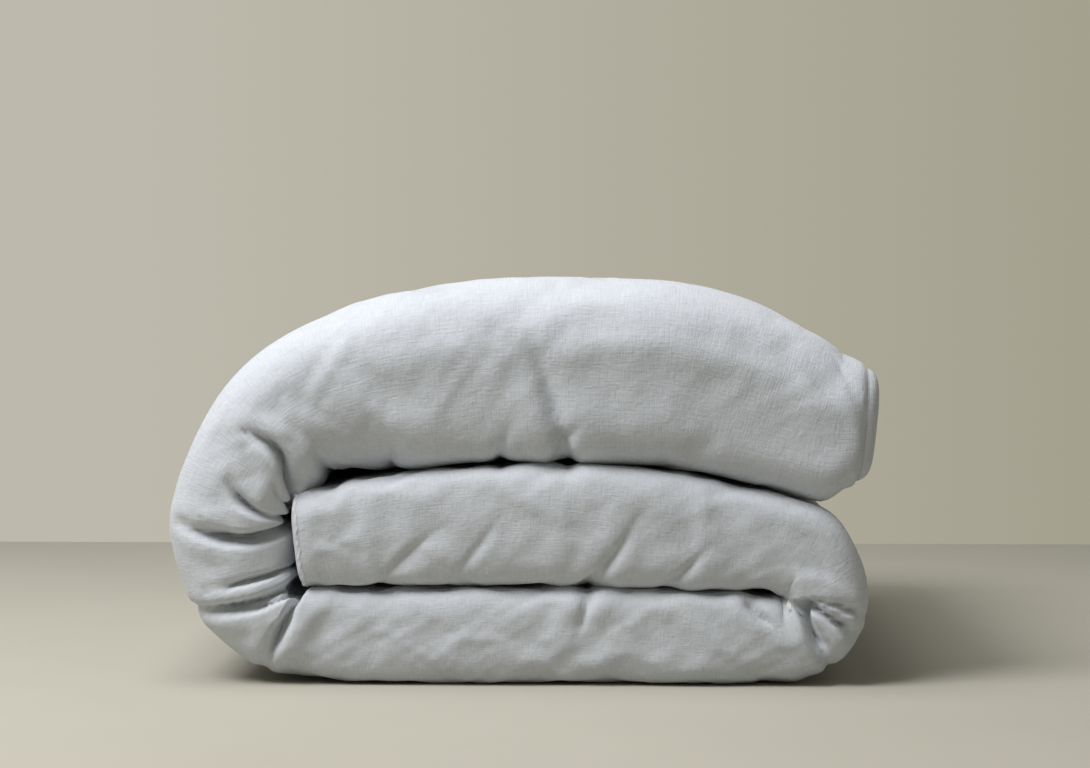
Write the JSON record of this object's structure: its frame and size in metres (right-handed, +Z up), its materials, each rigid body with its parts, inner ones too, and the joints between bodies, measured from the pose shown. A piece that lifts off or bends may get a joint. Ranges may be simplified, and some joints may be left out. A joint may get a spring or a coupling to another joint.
{
  "type": "folded duvet",
  "caption": "Plump duvet in a washed-linen cover, folded in half and then in thirds into a soft pile with a large rounded fold on one side and a smaller one on the other.",
  "frame": {"origin": "middle of the underside of the folded pile, on the surface it stands on", "axes": "+X towards the top flap's free end, +Y from the smooth front roll towards the sewn side edges at the back, +Z up"},
  "size_m": [0.6679, 0.6751, 0.382],
  "materials": {
    "washed_linen": "matte",
    "linen_seam": "matte",
    "cotton_percale": "matte",
    "hollow_fibre": "matte",
    "cotton_voile": "matte",
    "cotton_tape": "matte",
    "corozo": "satin"
  },
  "bodies": {
    "folded_base": {"baffle_1": "cotton_voile", "baffle_2": "cotton_voile", "baffle_3": "cotton_voile", "baffle_4": "cotton_voile", "baffle_5": "cotton_voile", "corner_tie_1": "cotton_tape", "corner_tie_2": "cotton_tape", "cover_end_seam": "linen_seam", "cover_inner_base": "washed_linen", "cover_outer_base": "washed_linen", "cover_side_seam_a_base": "linen_seam", "cover_side_seam_b_base": "linen_seam", "fill_row_1": "hollow_fibre", "fill_row_2": "hollow_fibre", "fill_row_3": "hollow_fibre", "fill_row_4": "hollow_fibre", "fill_row_5": "hollow_fibre", "insert_binding_a_base": "cotton_tape", "insert_binding_b_base": "cotton_tape", "insert_binding_head": "cotton_tape", "insert_shell_inner_base": "cotton_percale", "insert_shell_outer_base": "cotton_percale"},
    "left_fold": {"cover_inner_fold": "washed_linen", "cover_outer_fold": "washed_linen", "cover_side_seam_a_fold": "linen_seam", "cover_side_seam_b_fold": "linen_seam", "insert_binding_a_fold": "cotton_tape", "insert_binding_b_fold": "cotton_tape", "insert_shell_inner_fold": "cotton_percale", "insert_shell_outer_fold": "cotton_percale", "fill_row_6": "hollow_fibre", "fill_row_7": "hollow_fibre", "baffle_6": "cotton_voile"},
    "top_flap": {"cover_inner_top": "washed_linen", "cover_outer_top": "washed_linen", "cover_side_seam_a_top": "linen_seam", "cover_side_seam_b_top": "linen_seam", "insert_binding_a_top": "cotton_tape", "insert_binding_b_top": "cotton_tape", "insert_shell_inner_top": "cotton_percale", "insert_shell_outer_top": "cotton_percale", "fill_row_8": "hollow_fibre", "fill_row_9": "hollow_fibre", "baffle_7": "cotton_voile", "baffle_8": "cotton_voile", "insert_binding_foot": "cotton_tape", "opening_hem_over": "washed_linen", "opening_hem_under": "washed_linen", "corner_tie_3": "cotton_tape", "corner_tie_4": "cotton_tape", "button_1": "corozo", "button_2": "corozo", "button_3": "corozo", "button_4": "corozo", "button_5": "corozo", "button_6": "corozo"}
  },
  "joints": [
    {"name": "left_fold_unroll", "type": "hinge", "parent": "folded_base", "child": "left_fold", "pos_m": [-0.24, 0, 0.1], "axis": [0, -1, 0], "range_deg": [0, 90], "deforming": ["cover_inner_fold", "cover_outer_fold", "cover_side_seam_a_fold", "cover_side_seam_b_fold", "insert_binding_a_fold", "insert_binding_b_fold", "insert_shell_inner_fold", "insert_shell_outer_fold", "fill_row_6", "fill_row_7", "baffle_6"]},
    {"name": "top_flap_unroll", "type": "hinge", "parent": "left_fold", "child": "top_flap", "pos_m": [-0.22, 0, 0.262], "axis": [0, -1, 0], "range_deg": [0, 90], "deforming": ["cover_inner_fold", "cover_outer_fold", "cover_side_seam_a_fold", "cover_side_seam_b_fold", "insert_binding_a_fold", "insert_binding_b_fold", "insert_shell_inner_fold", "insert_shell_outer_fold", "fill_row_6", "fill_row_7", "baffle_6"]}
  ],
  "couplings": [
    {"joint": "top_flap_unroll", "follows": "left_fold_unroll", "ratio": 1}
  ]
}
